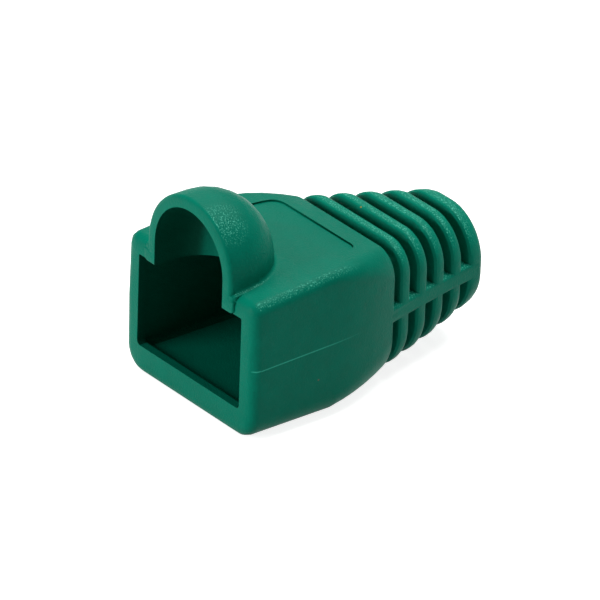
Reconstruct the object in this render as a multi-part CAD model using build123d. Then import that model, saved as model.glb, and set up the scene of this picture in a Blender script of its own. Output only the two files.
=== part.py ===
from build123d import *
import math
import os

# RJ45 strain relief boot: one piece of soft moulded plastic.
# A square socket slides over the back of a plug, a domed hood covers the plug's latch,
# and a tapering tail of rings, joined by a spine down each side, supports the cable.
# Millimetres. X runs across, +Y from the mouth to the cable end, +Z up from the underside.

# Body around the plug: rise is measured up and drop down from the mould's parting height
parting_height = 5.8
body_width = 15.0
body_length = 13.6
body_rise = 5.08
body_swell = 0.65
body_low_corner = 1.9
body_high_corner = 0.9
side_draft = 1.26
mouth_edge_round = 0.75
shoulder_start = 7.6
rear_edge_round = 0.2

# Tail of rings
tail_start_width = 12.66
tail_start_rise = 4.87
tail_start_low_corner = 3.95
tail_start_high_corner = 2.0
tail_end_width = 8.3
tail_end_rise = 4.02
tail_end_drop = 4.04
tail_end_corner = 3.65
width_early_taper = 1.19
rise_early_taper = 0.46
drop_early_taper = 0.25
slot_count = 5
slot_width = 0.72
ring_width = 1.21
end_ring_width = 1.6
ring_edge_round = 0.44
end_edge_round = 0.56
spine_height = 1.33
spine_edge_round = 0.32
spine_stand = 0.02

# Mouth and socket for the plug
mouth_inner_width = 11.9
mouth_floor = 2.3
mouth_low_corner = 0.35
mouth_high_corner = 0.12
lip_depth = 0.65
lip_slope = 0.35
socket_width = 12.2
socket_floor = 1.88
socket_ceiling = 9.55
socket_low_corner = 0.45
socket_depth = 11.8

# Funnel and bore for the cable
throat_radius = 3.7
throat_depth = 15.2
bore_radius = 3.1
bore_length = 1.4

# Hood over the plug's latch
hood_radius = 4.85
hood_wall = 0.92
hood_centre_height = 11.63
hood_back = 5.95
hood_back_flat = 0.45
hood_proud = 0.2
hood_front_round = 0.35
hood_base_round = 0.3
leg_corner = 0.35
leg_edge_round = 0.12

# Shallow panel in the top face
panel_width = 9.3
panel_front = 5.9
panel_back = 11.45
panel_corner = 0.9
panel_depth = 0.15

# Distances that follow from the sizes above
mouth_top = parting_height + body_rise
pitch = slot_width + ring_width
tail_length = slot_count * pitch - ring_width + end_ring_width
overall_length = body_length + tail_length
overreach = body_width
overlap = hood_wall / 2

# How finely the rounded forms are drawn
rounding_steps = 3
shoulder_steps = 5
dome_steps = 8
spine_steps = 3
nearly_round = 0.99


def cross_plane(y):
    """A plane across the part at y, whose own axes are X and Z."""
    return Plane(origin=(0, y, 0), x_dir=(1, 0, 0), z_dir=(0, -1, 0))


def eased(start, end, share, early):
    """A value on its way from start to end, early being the share of it that changes evenly."""
    return start + (end - start) * (early * share + (1 - early) * share * share)


def rounding(radius):
    """Steps round an edge: how far each lies behind the end face and inside the outline."""
    angles = [math.pi / 2 * step / rounding_steps for step in range(rounding_steps + 1)]
    return [(radius * (1 - math.cos(angle)), radius * (1 - math.sin(angle))) for angle in angles]


def outline(y, width, drop, rise, low_corner, high_corner, draft=0, inside=0):
    """A cross-section at y with rounded corners, whose sides lean in from the parting height."""
    lean = math.tan(math.radians(draft))
    half = width / 2 - inside
    up = rise - inside
    down = drop - inside
    low = low_corner * low_corner / (low_corner + inside)
    high = high_corner * high_corner / (high_corner + inside)
    low = min(low, nearly_round * min(half, down))
    high = min(high, nearly_round * min(half, up))
    points = [
        (half, parting_height),
        (half - lean * up, parting_height + up),
        (lean * up - half, parting_height + up),
        (-half, parting_height),
        (lean * down - half, parting_height - down),
        (half - lean * down, parting_height - down),
    ]
    wire = FilletPolyline(*points, radius=[0, high, high, 0, low, low], close=True)
    return cross_plane(y) * make_face(wire)


def body_outline(y, inside=0):
    """The body's cross-section between the mouth and the shoulder."""
    rise = body_rise + body_swell * y / shoulder_start
    corners = (body_low_corner, body_high_corner)
    return outline(y, body_width, parting_height, rise, *corners, side_draft, inside)


def shoulder_outline(share, inside=0):
    """The body's cross-section, share running from 0 where the shoulder starts to 1 at its back."""
    y = shoulder_start + (body_length - shoulder_start) * share
    width = eased(body_width, tail_start_width, share, 0)
    rise = eased(body_rise + body_swell, tail_start_rise, share, 0)
    low_corner = eased(body_low_corner, tail_start_low_corner, share, 1)
    high_corner = eased(body_high_corner, tail_start_high_corner, share, 1)
    draft = side_draft * (1 - share)
    return outline(y, width, parting_height, rise, low_corner, high_corner, draft, inside)


def body():
    """The square body, drafted from its parting height, with a shoulder towards the tail."""
    mouth = [body_outline(behind, inside) for behind, inside in rounding(mouth_edge_round)]
    shoulder = [shoulder_outline(step / shoulder_steps) for step in range(shoulder_steps)]
    shoulder_length = body_length - shoulder_start
    rear = [
        shoulder_outline(1 - behind / shoulder_length, inside)
        for behind, inside in rounding(rear_edge_round)
    ]
    return loft(mouth + shoulder + rear[::-1], ruled=True)


def tail_half_width(y):
    """Half the tail's width at y."""
    share = (y - body_length) / tail_length
    return eased(tail_start_width, tail_end_width, share, width_early_taper) / 2


def tail_outline(y, inside=0):
    """The tail's cross-section at y, which grows narrower and rounder towards the cable end."""
    share = (y - body_length) / tail_length
    drop = eased(parting_height, tail_end_drop, share, drop_early_taper)
    rise = eased(tail_start_rise, tail_end_rise, share, rise_early_taper)
    low_corner = eased(tail_start_low_corner, tail_end_corner, share, 1)
    high_corner = eased(tail_start_high_corner, tail_end_corner, share, 1)
    return outline(y, 2 * tail_half_width(y), drop, rise, low_corner, high_corner, inside=inside)


def ring(index):
    """One ring of the tail with rounded edges, the last one longer and rounder at its back."""
    is_last = index == slot_count - 1
    start = body_length + slot_width + index * pitch
    end = start + (end_ring_width if is_last else ring_width)
    back_round = end_edge_round if is_last else ring_edge_round
    front = [tail_outline(start + behind, inside) for behind, inside in rounding(ring_edge_round)]
    back = [tail_outline(end - behind, inside) for behind, inside in rounding(back_round)]
    return loft(front + back[::-1], ruled=True)


def spines():
    """A rail through the rings from side to side, whose rounded edges are the spines."""
    start = body_length - overlap
    end = overall_length - end_edge_round
    sections = []
    for step in range(spine_steps + 1):
        y = start + (end - start) * step / spine_steps
        section = RectangleRounded(2 * (tail_half_width(y) + spine_stand), spine_height, spine_edge_round)
        sections.append(cross_plane(y) * Pos(0, parting_height) * section)
    return loft(sections, ruled=True)


def panel(base):
    """The shallow rounded panel pressed into the base's top face, which it follows."""
    length = panel_back - panel_front
    place = Pos(0, panel_front + length / 2, parting_height)
    prism = extrude(place * RectangleRounded(panel_width, length, panel_corner), overreach)
    return prism - Pos(0, 0, -panel_depth) * base


def hood_plan(radius, back, front, front_round):
    """Half of the hood seen from above: straight at its side, rounded at its back and front."""
    corner = radius - hood_back_flat
    front_arc = [(radius - inside, front + behind) for behind, inside in rounding(front_round)]
    turns = [math.pi / 2 * step / dome_steps for step in range(dome_steps + 1)]
    back_arc = [
        (hood_back_flat + corner * math.cos(turn), back - corner + corner * math.sin(turn))
        for turn in turns
    ]
    return make_face(Polyline((0, back), (0, front), *front_arc, *back_arc, close=True))


def hood_form(radius, back, front, front_round, foot):
    """A dome over a straight-sided foot: the hood's outside, or the hollow under it."""
    half_plan = hood_plan(radius, back, front, front_round)
    crown_axis = Axis((0, 0, hood_centre_height), (0, -1, 0))
    crown = revolve(Pos(0, 0, hood_centre_height) * half_plan, crown_axis, 180)
    plan = half_plan + mirror(half_plan, Plane.YZ)
    return crown + extrude(Pos(0, 0, foot) * plan, hood_centre_height - foot)


def hood_foot():
    """The concave round where the hood meets the body's sloping top face."""
    slope = math.atan2(body_swell, shoulder_start)
    upright = (0, -math.sin(slope), math.cos(slope))
    buried = (-panel_depth - hood_base_round, hood_base_round)
    outlines = []
    for above, beyond in [buried] + rounding(hood_base_round):
        front = hood_front_round - hood_proud - beyond
        half_plan = hood_plan(hood_radius + beyond, hood_back + beyond, front, hood_front_round)
        plan = half_plan + mirror(half_plan, Plane.YZ)
        plane = Plane(origin=(0, 0, mouth_top + above), x_dir=(1, 0, 0), z_dir=upright)
        outlines.append(plane * plan)
    return loft(outlines, ruled=True)


def hood_legs():
    """The lower ends of the hood's front edge, which stand proud of the mouth down to its ceiling."""
    sections = []
    for behind, inside in rounding(leg_edge_round) + [(hood_proud + overlap, 0)]:
        half = hood_radius + hood_base_round - inside
        low = socket_ceiling + inside
        top = mouth_top - mouth_edge_round / 2 - inside
        points = [(half, top), (-half, top), (-half, low), (half, low)]
        wire = FilletPolyline(*points, radius=[0, 0, leg_corner, leg_corner], close=True)
        sections.append(cross_plane(behind - hood_proud) * make_face(wire))
    return loft(sections, ruled=True)


def hood():
    """The hood's outside, with its foot on the body and its legs in front of the mouth."""
    dome = hood_form(hood_radius, hood_back, -hood_proud, hood_front_round, mouth_top - overlap)
    return dome + hood_foot() + hood_legs()


def socket_outline(y, width, floor, low_corner):
    """The cross-section of the mouth or the socket at y, below the shared ceiling."""
    rise = socket_ceiling - parting_height
    return outline(y, width, parting_height - floor, rise, low_corner, mouth_high_corner)


def throat_outline():
    """The square narrow end of the funnel, which meets the round passage behind it."""
    half = throat_radius
    return outline(throat_depth, 2 * half, half, half, socket_low_corner, mouth_high_corner)


def socket():
    """The hollow for the plug: a mouth with a raised lip, the socket and the funnel behind it."""
    mouth_front = socket_outline(-overlap, mouth_inner_width, mouth_floor, mouth_low_corner)
    lip_edge = socket_outline(lip_depth, mouth_inner_width, mouth_floor, mouth_low_corner)
    lip_foot = socket_outline(lip_depth + lip_slope, socket_width, socket_floor, socket_low_corner)
    socket_back = socket_outline(socket_depth, socket_width, socket_floor, socket_low_corner)
    mouth = loft([mouth_front, lip_edge], ruled=True)
    slope = loft([lip_edge, lip_foot], ruled=True)
    box = loft([lip_foot, socket_back], ruled=True)
    funnel = loft([socket_back, throat_outline()], ruled=True)
    return mouth + slope + box + funnel


def cable_passage():
    """The cone from the funnel to the cable bore, and the bore out of the last ring."""
    bore_start = overall_length - bore_length
    half_section = make_face(
        Polyline(
            (0, throat_depth),
            (throat_radius, throat_depth),
            (bore_radius, bore_start),
            (bore_radius, overall_length + overlap),
            (0, overall_length + overlap),
            (0, throat_depth),
        )
    )
    return Pos(0, 0, parting_height) * revolve(half_section, Axis.Y)


def hood_hollow():
    """The space under the hood, open to the socket and to the front."""
    radius = hood_radius - hood_wall
    front = -hood_proud - overlap
    return hood_form(radius, hood_back - hood_wall, front, overlap / 2, socket_ceiling - overlap)


def boot():
    """The whole boot in one solid."""
    base = body()
    outside = base - panel(base) + [ring(index) for index in range(slot_count)]
    outside = outside + spines() + hood()
    return outside - socket() - cable_passage() - hood_hollow()


def placed(solid):
    """The solid with the middle of its length over the origin, standing on its underside."""
    middle = (overall_length - hood_proud) / 2
    return Pos(0, -middle, 0) * solid


os.makedirs("parts", exist_ok=True)
part = placed(boot())
part.label = "boot"
export_step(part, "parts/boot.step")
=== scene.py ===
import math

import bpy
from mathutils import Matrix, Vector


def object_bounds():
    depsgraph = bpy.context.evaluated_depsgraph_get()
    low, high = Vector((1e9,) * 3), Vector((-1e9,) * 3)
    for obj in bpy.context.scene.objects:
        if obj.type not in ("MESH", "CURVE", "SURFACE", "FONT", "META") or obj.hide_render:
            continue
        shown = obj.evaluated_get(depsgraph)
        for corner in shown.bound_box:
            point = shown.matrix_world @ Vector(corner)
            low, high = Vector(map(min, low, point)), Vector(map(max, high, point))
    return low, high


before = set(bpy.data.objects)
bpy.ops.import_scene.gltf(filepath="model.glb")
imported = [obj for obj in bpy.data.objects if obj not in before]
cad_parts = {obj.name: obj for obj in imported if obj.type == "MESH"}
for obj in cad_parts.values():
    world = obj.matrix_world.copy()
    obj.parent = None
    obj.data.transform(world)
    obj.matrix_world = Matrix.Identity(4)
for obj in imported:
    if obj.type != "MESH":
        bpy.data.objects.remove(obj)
cad_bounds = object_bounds()

# Lengths are in metres, in the same frame as the model
MM = 0.001

# The mouth's face lies just behind the ends of the hood's legs
LEG_PROUD = 0.2 * MM
MOUTH_Y = cad_bounds[0][1] + LEG_PROUD

# The photograph's camera: a long lens, seen from the front right and above
FRAME_WIDTH = 600
FOCAL_PIXELS = 8434.9
SENSOR_WIDTH = 36
CAMERA_AZIMUTH = math.radians(50.96)
CAMERA_ELEVATION = math.radians(28.13)
CAMERA_ROLL = math.radians(2.03)
CAMERA_DISTANCE = 600 * MM
CAMERA_RIGHT = 8.05 * MM
CAMERA_UP = 6.93 * MM
AIM_HEIGHT = 0.58 * MM
NEAREST_SEEN = 10 * MM
FARTHEST_SEEN = 10


def add_camera():
    """The camera looks at the mouth's lowest middle point, moved right and up for the framing."""
    flat = math.cos(CAMERA_ELEVATION)
    across = math.sin(CAMERA_AZIMUTH) * flat
    forward = math.cos(CAMERA_AZIMUTH) * flat
    back = Vector((across, -forward, math.sin(CAMERA_ELEVATION)))
    level = Vector((math.cos(CAMERA_AZIMUTH), math.sin(CAMERA_AZIMUTH), 0))
    upright = back.cross(level)
    right = level * math.cos(CAMERA_ROLL) + upright * math.sin(CAMERA_ROLL)
    up = upright * math.cos(CAMERA_ROLL) - level * math.sin(CAMERA_ROLL)
    place = Vector((0, MOUTH_Y, AIM_HEIGHT)) + back * CAMERA_DISTANCE
    place += right * CAMERA_RIGHT + up * CAMERA_UP
    turn = Matrix((right, up, back)).transposed().to_4x4()
    data = bpy.data.cameras.new("camera")
    data.sensor_width = SENSOR_WIDTH
    data.lens = FOCAL_PIXELS * SENSOR_WIDTH / FRAME_WIDTH
    data.clip_start = NEAREST_SEEN
    data.clip_end = FARTHEST_SEEN
    camera = bpy.data.objects.new("camera", data)
    camera.matrix_world = Matrix.Translation(place) @ turn
    bpy.context.scene.collection.objects.link(camera)
    bpy.context.scene.camera = camera


# The space between one shader node and the next in the node editor
NODE_STEP = 200


def node(tree, kind, **values):
    """A new shader node right of the last one, with its properties and its inputs' values."""
    made = tree.nodes.new(kind)
    made.location.x = NODE_STEP * len(tree.nodes)
    for name, value in values.items():
        if hasattr(made, name):
            setattr(made, name, value)
        else:
            made.inputs[name.replace("_", " ")].default_value = value
    return made


def new_material(name):
    """An empty material and its node tree, with the output node."""
    material = bpy.data.materials.new(name)
    material.use_nodes = True
    tree = material.node_tree
    tree.nodes.clear()
    output = node(tree, "ShaderNodeOutputMaterial")
    return material, tree, output


def maths(tree, operation, first, second=0):
    """The result of a calculation on two values, each a socket or a number."""
    made = node(tree, "ShaderNodeMath", operation=operation)
    for index, value in enumerate((first, second)):
        if isinstance(value, (int, float)):
            made.inputs[index].default_value = value
        else:
            tree.links.new(value, made.inputs[index])
    return made.outputs[0]


def product(tree, first, *others):
    """Several shares multiplied together."""
    total = first
    for other in others:
        total = maths(tree, "MULTIPLY", total, other)
    return total


def rising(tree, value, low, high):
    """A smooth step of value, from 0 at low to 1 at high."""
    made = node(tree, "ShaderNodeMapRange", interpolation_type="SMOOTHSTEP", From_Min=low, From_Max=high)
    tree.links.new(value, made.inputs["Value"])
    return made.outputs["Result"]


def falling(tree, value, low, high):
    """A smooth step of value, from 1 at low to 0 at high."""
    return maths(tree, "SUBTRACT", 1, rising(tree, value, low, high))


def mixed(tree, share, first, second):
    """A colour between first and second, each a socket or a colour."""
    made = node(tree, "ShaderNodeMix", data_type="RGBA")
    tree.links.new(share, made.inputs[0])
    for index, colour in ((6, first), (7, second)):
        if isinstance(colour, tuple):
            made.inputs[index].default_value = colour
        else:
            tree.links.new(colour, made.inputs[index])
    return made.outputs[2]


def parts_of(tree, vector):
    """The X, Y and Z of a vector."""
    made = node(tree, "ShaderNodeSeparateXYZ")
    tree.links.new(vector, made.inputs[0])
    return made.outputs


def noise(tree, where, scale, detail):
    """A cloudy value from 0 to 1 that runs through the object."""
    made = node(tree, "ShaderNodeTexNoise", Scale=scale, Detail=detail)
    tree.links.new(where.outputs["Object"], made.inputs["Vector"])
    return made.outputs["Fac"]


def bump(tree, height, depth):
    """Small heights and hollows up to that depth."""
    made = node(tree, "ShaderNodeBump", Strength=1.0, Distance=depth)
    tree.links.new(height, made.inputs["Height"])
    return made


# Soft green plastic: its colour, its gloss, and the unevenness and grain of its surface
PLASTIC_DEEP = (0.0, 0.136, 0.085, 1)
PLASTIC_LIGHT = (0.0, 0.168, 0.108, 1)
SHINE = 0.04
SMOOTHEST = 0.34
ROUGHEST = 0.52
MOTTLE_SCALE = 900
MOTTLE_DETAIL = 6.0
UNEVEN_SCALE = 420
UNEVEN_DETAIL = 2.0
UNEVEN_DEPTH = 0.05 * MM
GRAIN_SCALE = 7000
GRAIN_DETAIL = 2.0
GRAIN_DEPTH = 0.035 * MM

# Painted glints: pale flecks painted into the colour where the coarse grain faces the light, on rounded
# crests and along the tail's rings
PAINTED_GLINT_COLOUR = (0.06, 0.42, 0.3, 1)
GLINT_SCALE = 9500
GLINT_DETAIL = 1.0
GLINT_FACING = (0.58, -0.15, 0.8)
CREST_FACING_RANGE = (0.9, 0.99)
CREST_GRAIN_RANGE = (0.5, 0.78)
RING_GRAIN_RANGE = (0.5, 0.74)
RING_UPWARD_RANGE = (0.3, 0.8)
RING_TILT_RANGE = (0.1, 0.45)

# Painted light: the tail's rings are painted a little brighter than the body where light falls on them,
# except where they face down or into a slot
RING_LIGHT_COLOUR = (0.0, 0.29, 0.18, 1)
RING_LIGHT_SHARE = 0.16
SLOT_TILT_RANGE = (0.6, 0.95)
RING_UNDER_RANGE = (-0.3, 0.1)
TAIL_FROM_MOUTH = 14 * MM

# Upright inner walls and the hood's inside show deeper, as little light reaches them
INNER_COLOUR = (0.0, 0.062, 0.036, 1)
INNER_START = 4 * MM
INNER_FULL = 5.5 * MM
INNER_WIDTHS = 1.8
INNER_FADE = 8 * MM
INNER_END = 12 * MM

# Two specks of dirt, on the second ring and on the right side: each one's middle, radius and colour
SPECKS = (
    ((-1.305 * MM, 4.708 * MM, 10.423 * MM), 0.1 * MM, (0.3, 0.22, 0.03, 1)),
    ((7.449 * MM, -5.777 * MM, 3.487 * MM), 0.11 * MM, (0.12, 0.13, 0.09, 1)),
)

# The mould's parting line, a hair of flash along each side that fades towards the tail; it is painted
# paler, a painted highlight along the flash
PARTING_HEIGHT = 5.8 * MM
PARTING_RISE = 0.03
PARTING_WIDTH = 0.07 * MM
PARTING_OUTSIDE = 3 * MM
PARTING_END = 10.5 * MM
PARTING_HIGHLIGHT_COLOUR = (0.03, 0.36, 0.25, 1)


def on_tail(tree, place):
    """1 on the tail and 0 on the body."""
    return maths(tree, "GREATER_THAN", place[1], MOUTH_Y + TAIL_FROM_MOUTH)


def outwards(tree, place, facing, width_weight=1):
    """How far out a surface lies in the direction it faces, with its width counted that often."""
    sideways = product(tree, place[0], facing[0], width_weight)
    height = maths(tree, "SUBTRACT", place[2], PARTING_HEIGHT)
    upwards = maths(tree, "MULTIPLY", height, facing[2])
    return maths(tree, "ADD", sideways, upwards)


def painted_glint_share(tree, where, place, facing):
    """Where painted glints show: on scattered grains of outer surfaces that face the light."""
    grains = noise(tree, where, GLINT_SCALE, GLINT_DETAIL)
    towards = node(tree, "ShaderNodeVectorMath", operation="DOT_PRODUCT")
    towards.inputs[1].default_value = GLINT_FACING
    tree.links.new(where.outputs["Normal"], towards.inputs[0])
    crest = rising(tree, towards.outputs["Value"], *CREST_FACING_RANGE)
    on_crest = product(tree, rising(tree, grains, *CREST_GRAIN_RANGE), crest)

    upward = rising(tree, facing[2], *RING_UPWARD_RANGE)
    level = falling(tree, maths(tree, "ABSOLUTE", facing[1]), *RING_TILT_RANGE)
    ring_grain = rising(tree, grains, *RING_GRAIN_RANGE)
    on_ring = product(tree, ring_grain, upward, level, on_tail(tree, place))

    shown = maths(tree, "MAXIMUM", on_crest, on_ring)
    outer = maths(tree, "GREATER_THAN", outwards(tree, place, facing), 0)
    return product(tree, shown, outer)


def ring_light_share(tree, place, facing):
    """How much of the rings' painted light shows."""
    slot_wall = rising(tree, maths(tree, "ABSOLUTE", facing[1]), *SLOT_TILT_RANGE)
    level = maths(tree, "SUBTRACT", RING_LIGHT_SHARE, slot_wall)
    upper = rising(tree, facing[2], *RING_UNDER_RANGE)
    return product(tree, maths(tree, "MAXIMUM", level), upper, on_tail(tree, place))


def inner_share(tree, place, facing):
    """Where a surface faces the part's middle from some way off, not far behind the mouth."""
    inner = falling(tree, outwards(tree, place, facing, INNER_WIDTHS), -INNER_FULL, -INNER_START)
    from_mouth = maths(tree, "SUBTRACT", place[1], MOUTH_Y)
    return product(tree, inner, falling(tree, from_mouth, INNER_FADE, INNER_END))


def parting_share(tree, place, facing):
    """Where the parting line runs: a thin band along both outer sides."""
    from_mouth = maths(tree, "SUBTRACT", place[1], MOUTH_Y)
    climb = maths(tree, "MULTIPLY", from_mouth, PARTING_RISE)
    line = maths(tree, "ADD", climb, PARTING_HEIGHT)
    distance = maths(tree, "ABSOLUTE", maths(tree, "SUBTRACT", place[2], line))
    near = falling(tree, distance, PARTING_WIDTH / 4, PARTING_WIDTH)
    fade = falling(tree, from_mouth, PARTING_END / 2, PARTING_END)
    outside = rising(tree, product(tree, place[0], facing[0]), PARTING_OUTSIDE, 2 * PARTING_OUTSIDE)
    return product(tree, near, fade, outside)


def speck_share(tree, where, middle, radius):
    """Where one round speck shows."""
    away = node(tree, "ShaderNodeVectorMath", operation="DISTANCE")
    tree.links.new(where.outputs["Object"], away.inputs[0])
    away.inputs[1].default_value = middle
    return falling(tree, away.outputs["Value"], radius / 3, radius)


def plastic():
    """Soft plastic with the pitted grain of a spark-eroded mould, painted glints, painted light on the
    rings, painted shade inside, and its parting line with a painted highlight.
    """
    material, tree, output = new_material("moulded_plastic")
    link = tree.links.new
    shader = node(tree, "ShaderNodeBsdfPrincipled", Specular_IOR_Level=SHINE)
    where = node(tree, "ShaderNodeTexCoord")
    place = parts_of(tree, where.outputs["Object"])
    facing = parts_of(tree, where.outputs["Normal"])

    mottle = noise(tree, where, MOTTLE_SCALE, MOTTLE_DETAIL)
    colour = mixed(tree, mottle, PLASTIC_DEEP, PLASTIC_LIGHT)
    # Painted light: the rings' upper faces are painted brighter
    colour = mixed(tree, ring_light_share(tree, place, facing), colour, RING_LIGHT_COLOUR)
    # Painted glints on the crests and rings
    colour = mixed(tree, painted_glint_share(tree, where, place, facing), colour, PAINTED_GLINT_COLOUR)
    # The parting line, painted paler as a painted highlight
    colour = mixed(tree, parting_share(tree, place, facing), colour, PARTING_HIGHLIGHT_COLOUR)
    colour = mixed(tree, inner_share(tree, place, facing), colour, INNER_COLOUR)
    for middle, radius, dirt in SPECKS:
        colour = mixed(tree, speck_share(tree, where, middle, radius), colour, dirt)
    link(colour, shader.inputs["Base Color"])

    rough = node(tree, "ShaderNodeMapRange", To_Min=SMOOTHEST, To_Max=ROUGHEST)
    link(mottle, rough.inputs["Value"])
    link(rough.outputs["Result"], shader.inputs["Roughness"])

    broad = bump(tree, noise(tree, where, UNEVEN_SCALE, UNEVEN_DETAIL), UNEVEN_DEPTH)
    fine = bump(tree, noise(tree, where, GRAIN_SCALE, GRAIN_DETAIL), GRAIN_DEPTH)
    link(broad.outputs["Normal"], fine.inputs["Normal"])
    link(fine.outputs["Normal"], shader.inputs["Normal"])
    link(shader.outputs["BSDF"], output.inputs["Surface"])
    return material


# Normals run smoothly round every edge that turns less than this
WELD_DISTANCE = 0.001 * MM
CREASE_ANGLE = math.radians(35)
LARGE_FACES_LEAD = 100


def dress_boot():
    """The moulded piece keeps its solid and takes the plastic's finish."""
    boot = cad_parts["boot"]
    boot.data.materials.clear()
    boot.data.materials.append(plastic())
    for face in boot.data.polygons:
        face.use_smooth = True
    weld = boot.modifiers.new("weld", "WELD")
    weld.merge_threshold = WELD_DISTANCE
    split = boot.modifiers.new("creases", "EDGE_SPLIT")
    split.split_angle = CREASE_ANGLE
    split.use_edge_sharp = False
    smooth = boot.modifiers.new("smooth", "WEIGHTED_NORMAL")
    smooth.weight = LARGE_FACES_LEAD
    smooth.keep_sharp = True


FLOOR_SIZE = 3.0
FLOOR_DROP = 0.02 * MM
FLOOR_COLOUR = (0.6, 0.6, 0.6, 1)
FLOOR_GLOW = 0.84


def add_floor():
    """A pale floor that shows white to the camera and keeps the soft shadow."""
    mesh = bpy.data.meshes.new("floor")
    half = FLOOR_SIZE / 2
    corners = [(x, y, -FLOOR_DROP) for x, y in ((-half, -half), (half, -half), (half, half), (-half, half))]
    mesh.from_pydata(corners, [], [(0, 1, 2, 3)])
    floor = bpy.data.objects.new("floor", mesh)
    bpy.context.scene.collection.objects.link(floor)

    material, tree, output = new_material("floor")
    diffuse = node(tree, "ShaderNodeBsdfDiffuse", Color=FLOOR_COLOUR)
    glow = node(tree, "ShaderNodeEmission")
    rays = node(tree, "ShaderNodeLightPath").outputs
    seen = maths(tree, "MAXIMUM", rays["Is Camera Ray"], rays["Is Glossy Ray"])
    seen_through = maths(tree, "MAXIMUM", seen, rays["Is Transmission Ray"])
    both = node(tree, "ShaderNodeAddShader")
    link = tree.links.new
    link(maths(tree, "MULTIPLY", seen_through, FLOOR_GLOW), glow.inputs["Strength"])
    link(diffuse.outputs[0], both.inputs[0])
    link(glow.outputs[0], both.inputs[1])
    link(both.outputs[0], output.inputs["Surface"])
    mesh.materials.append(material)


WORLD_COLOUR = (1, 1, 1, 1)
WORLD_LIGHT = 0.2
WORLD_SEEN = 1.0


def add_world():
    """A white surround for the camera that lights the object gently."""
    world = bpy.data.worlds.new("world")
    bpy.context.scene.world = world
    world.use_nodes = True
    tree = world.node_tree
    tree.nodes.clear()
    output = node(tree, "ShaderNodeOutputWorld")
    background = node(tree, "ShaderNodeBackground", Color=WORLD_COLOUR)
    rays = node(tree, "ShaderNodeLightPath").outputs
    level = node(tree, "ShaderNodeMapRange", To_Min=WORLD_LIGHT, To_Max=WORLD_SEEN)
    tree.links.new(rays["Is Camera Ray"], level.inputs["Value"])
    tree.links.new(level.outputs["Result"], background.inputs["Strength"])
    tree.links.new(background.outputs[0], output.inputs["Surface"])


# Each softbox's direction from the object, its distance and width in metres, and its power in watts
SOFTBOXES = {
    "overhead": ((-0.1, 0.4, 1.0), 0.6, 0.4, 4.3),
    "front_left": ((-0.25, -1.0, 0.28), 0.7, 0.4, 4.1),
    "back_left": ((-0.69, 0.47, 0.56), 0.8, 0.3, 0.8),
}


def add_softbox(name, direction, distance, width, power):
    """A square soft lamp in that direction from the object, facing it."""
    data = bpy.data.lights.new(name, "AREA")
    data.shape = "SQUARE"
    data.size = width
    data.energy = power
    lamp = bpy.data.objects.new(name, data)
    away = Vector(direction).normalized()
    lamp.location = away * distance
    lamp.rotation_euler = away.to_track_quat("Z", "Y").to_euler()
    bpy.context.scene.collection.objects.link(lamp)


add_camera()
dress_boot()
add_floor()
add_world()
for name, settings in SOFTBOXES.items():
    add_softbox(name, *settings)
bpy.context.scene.view_settings.view_transform = "Standard"
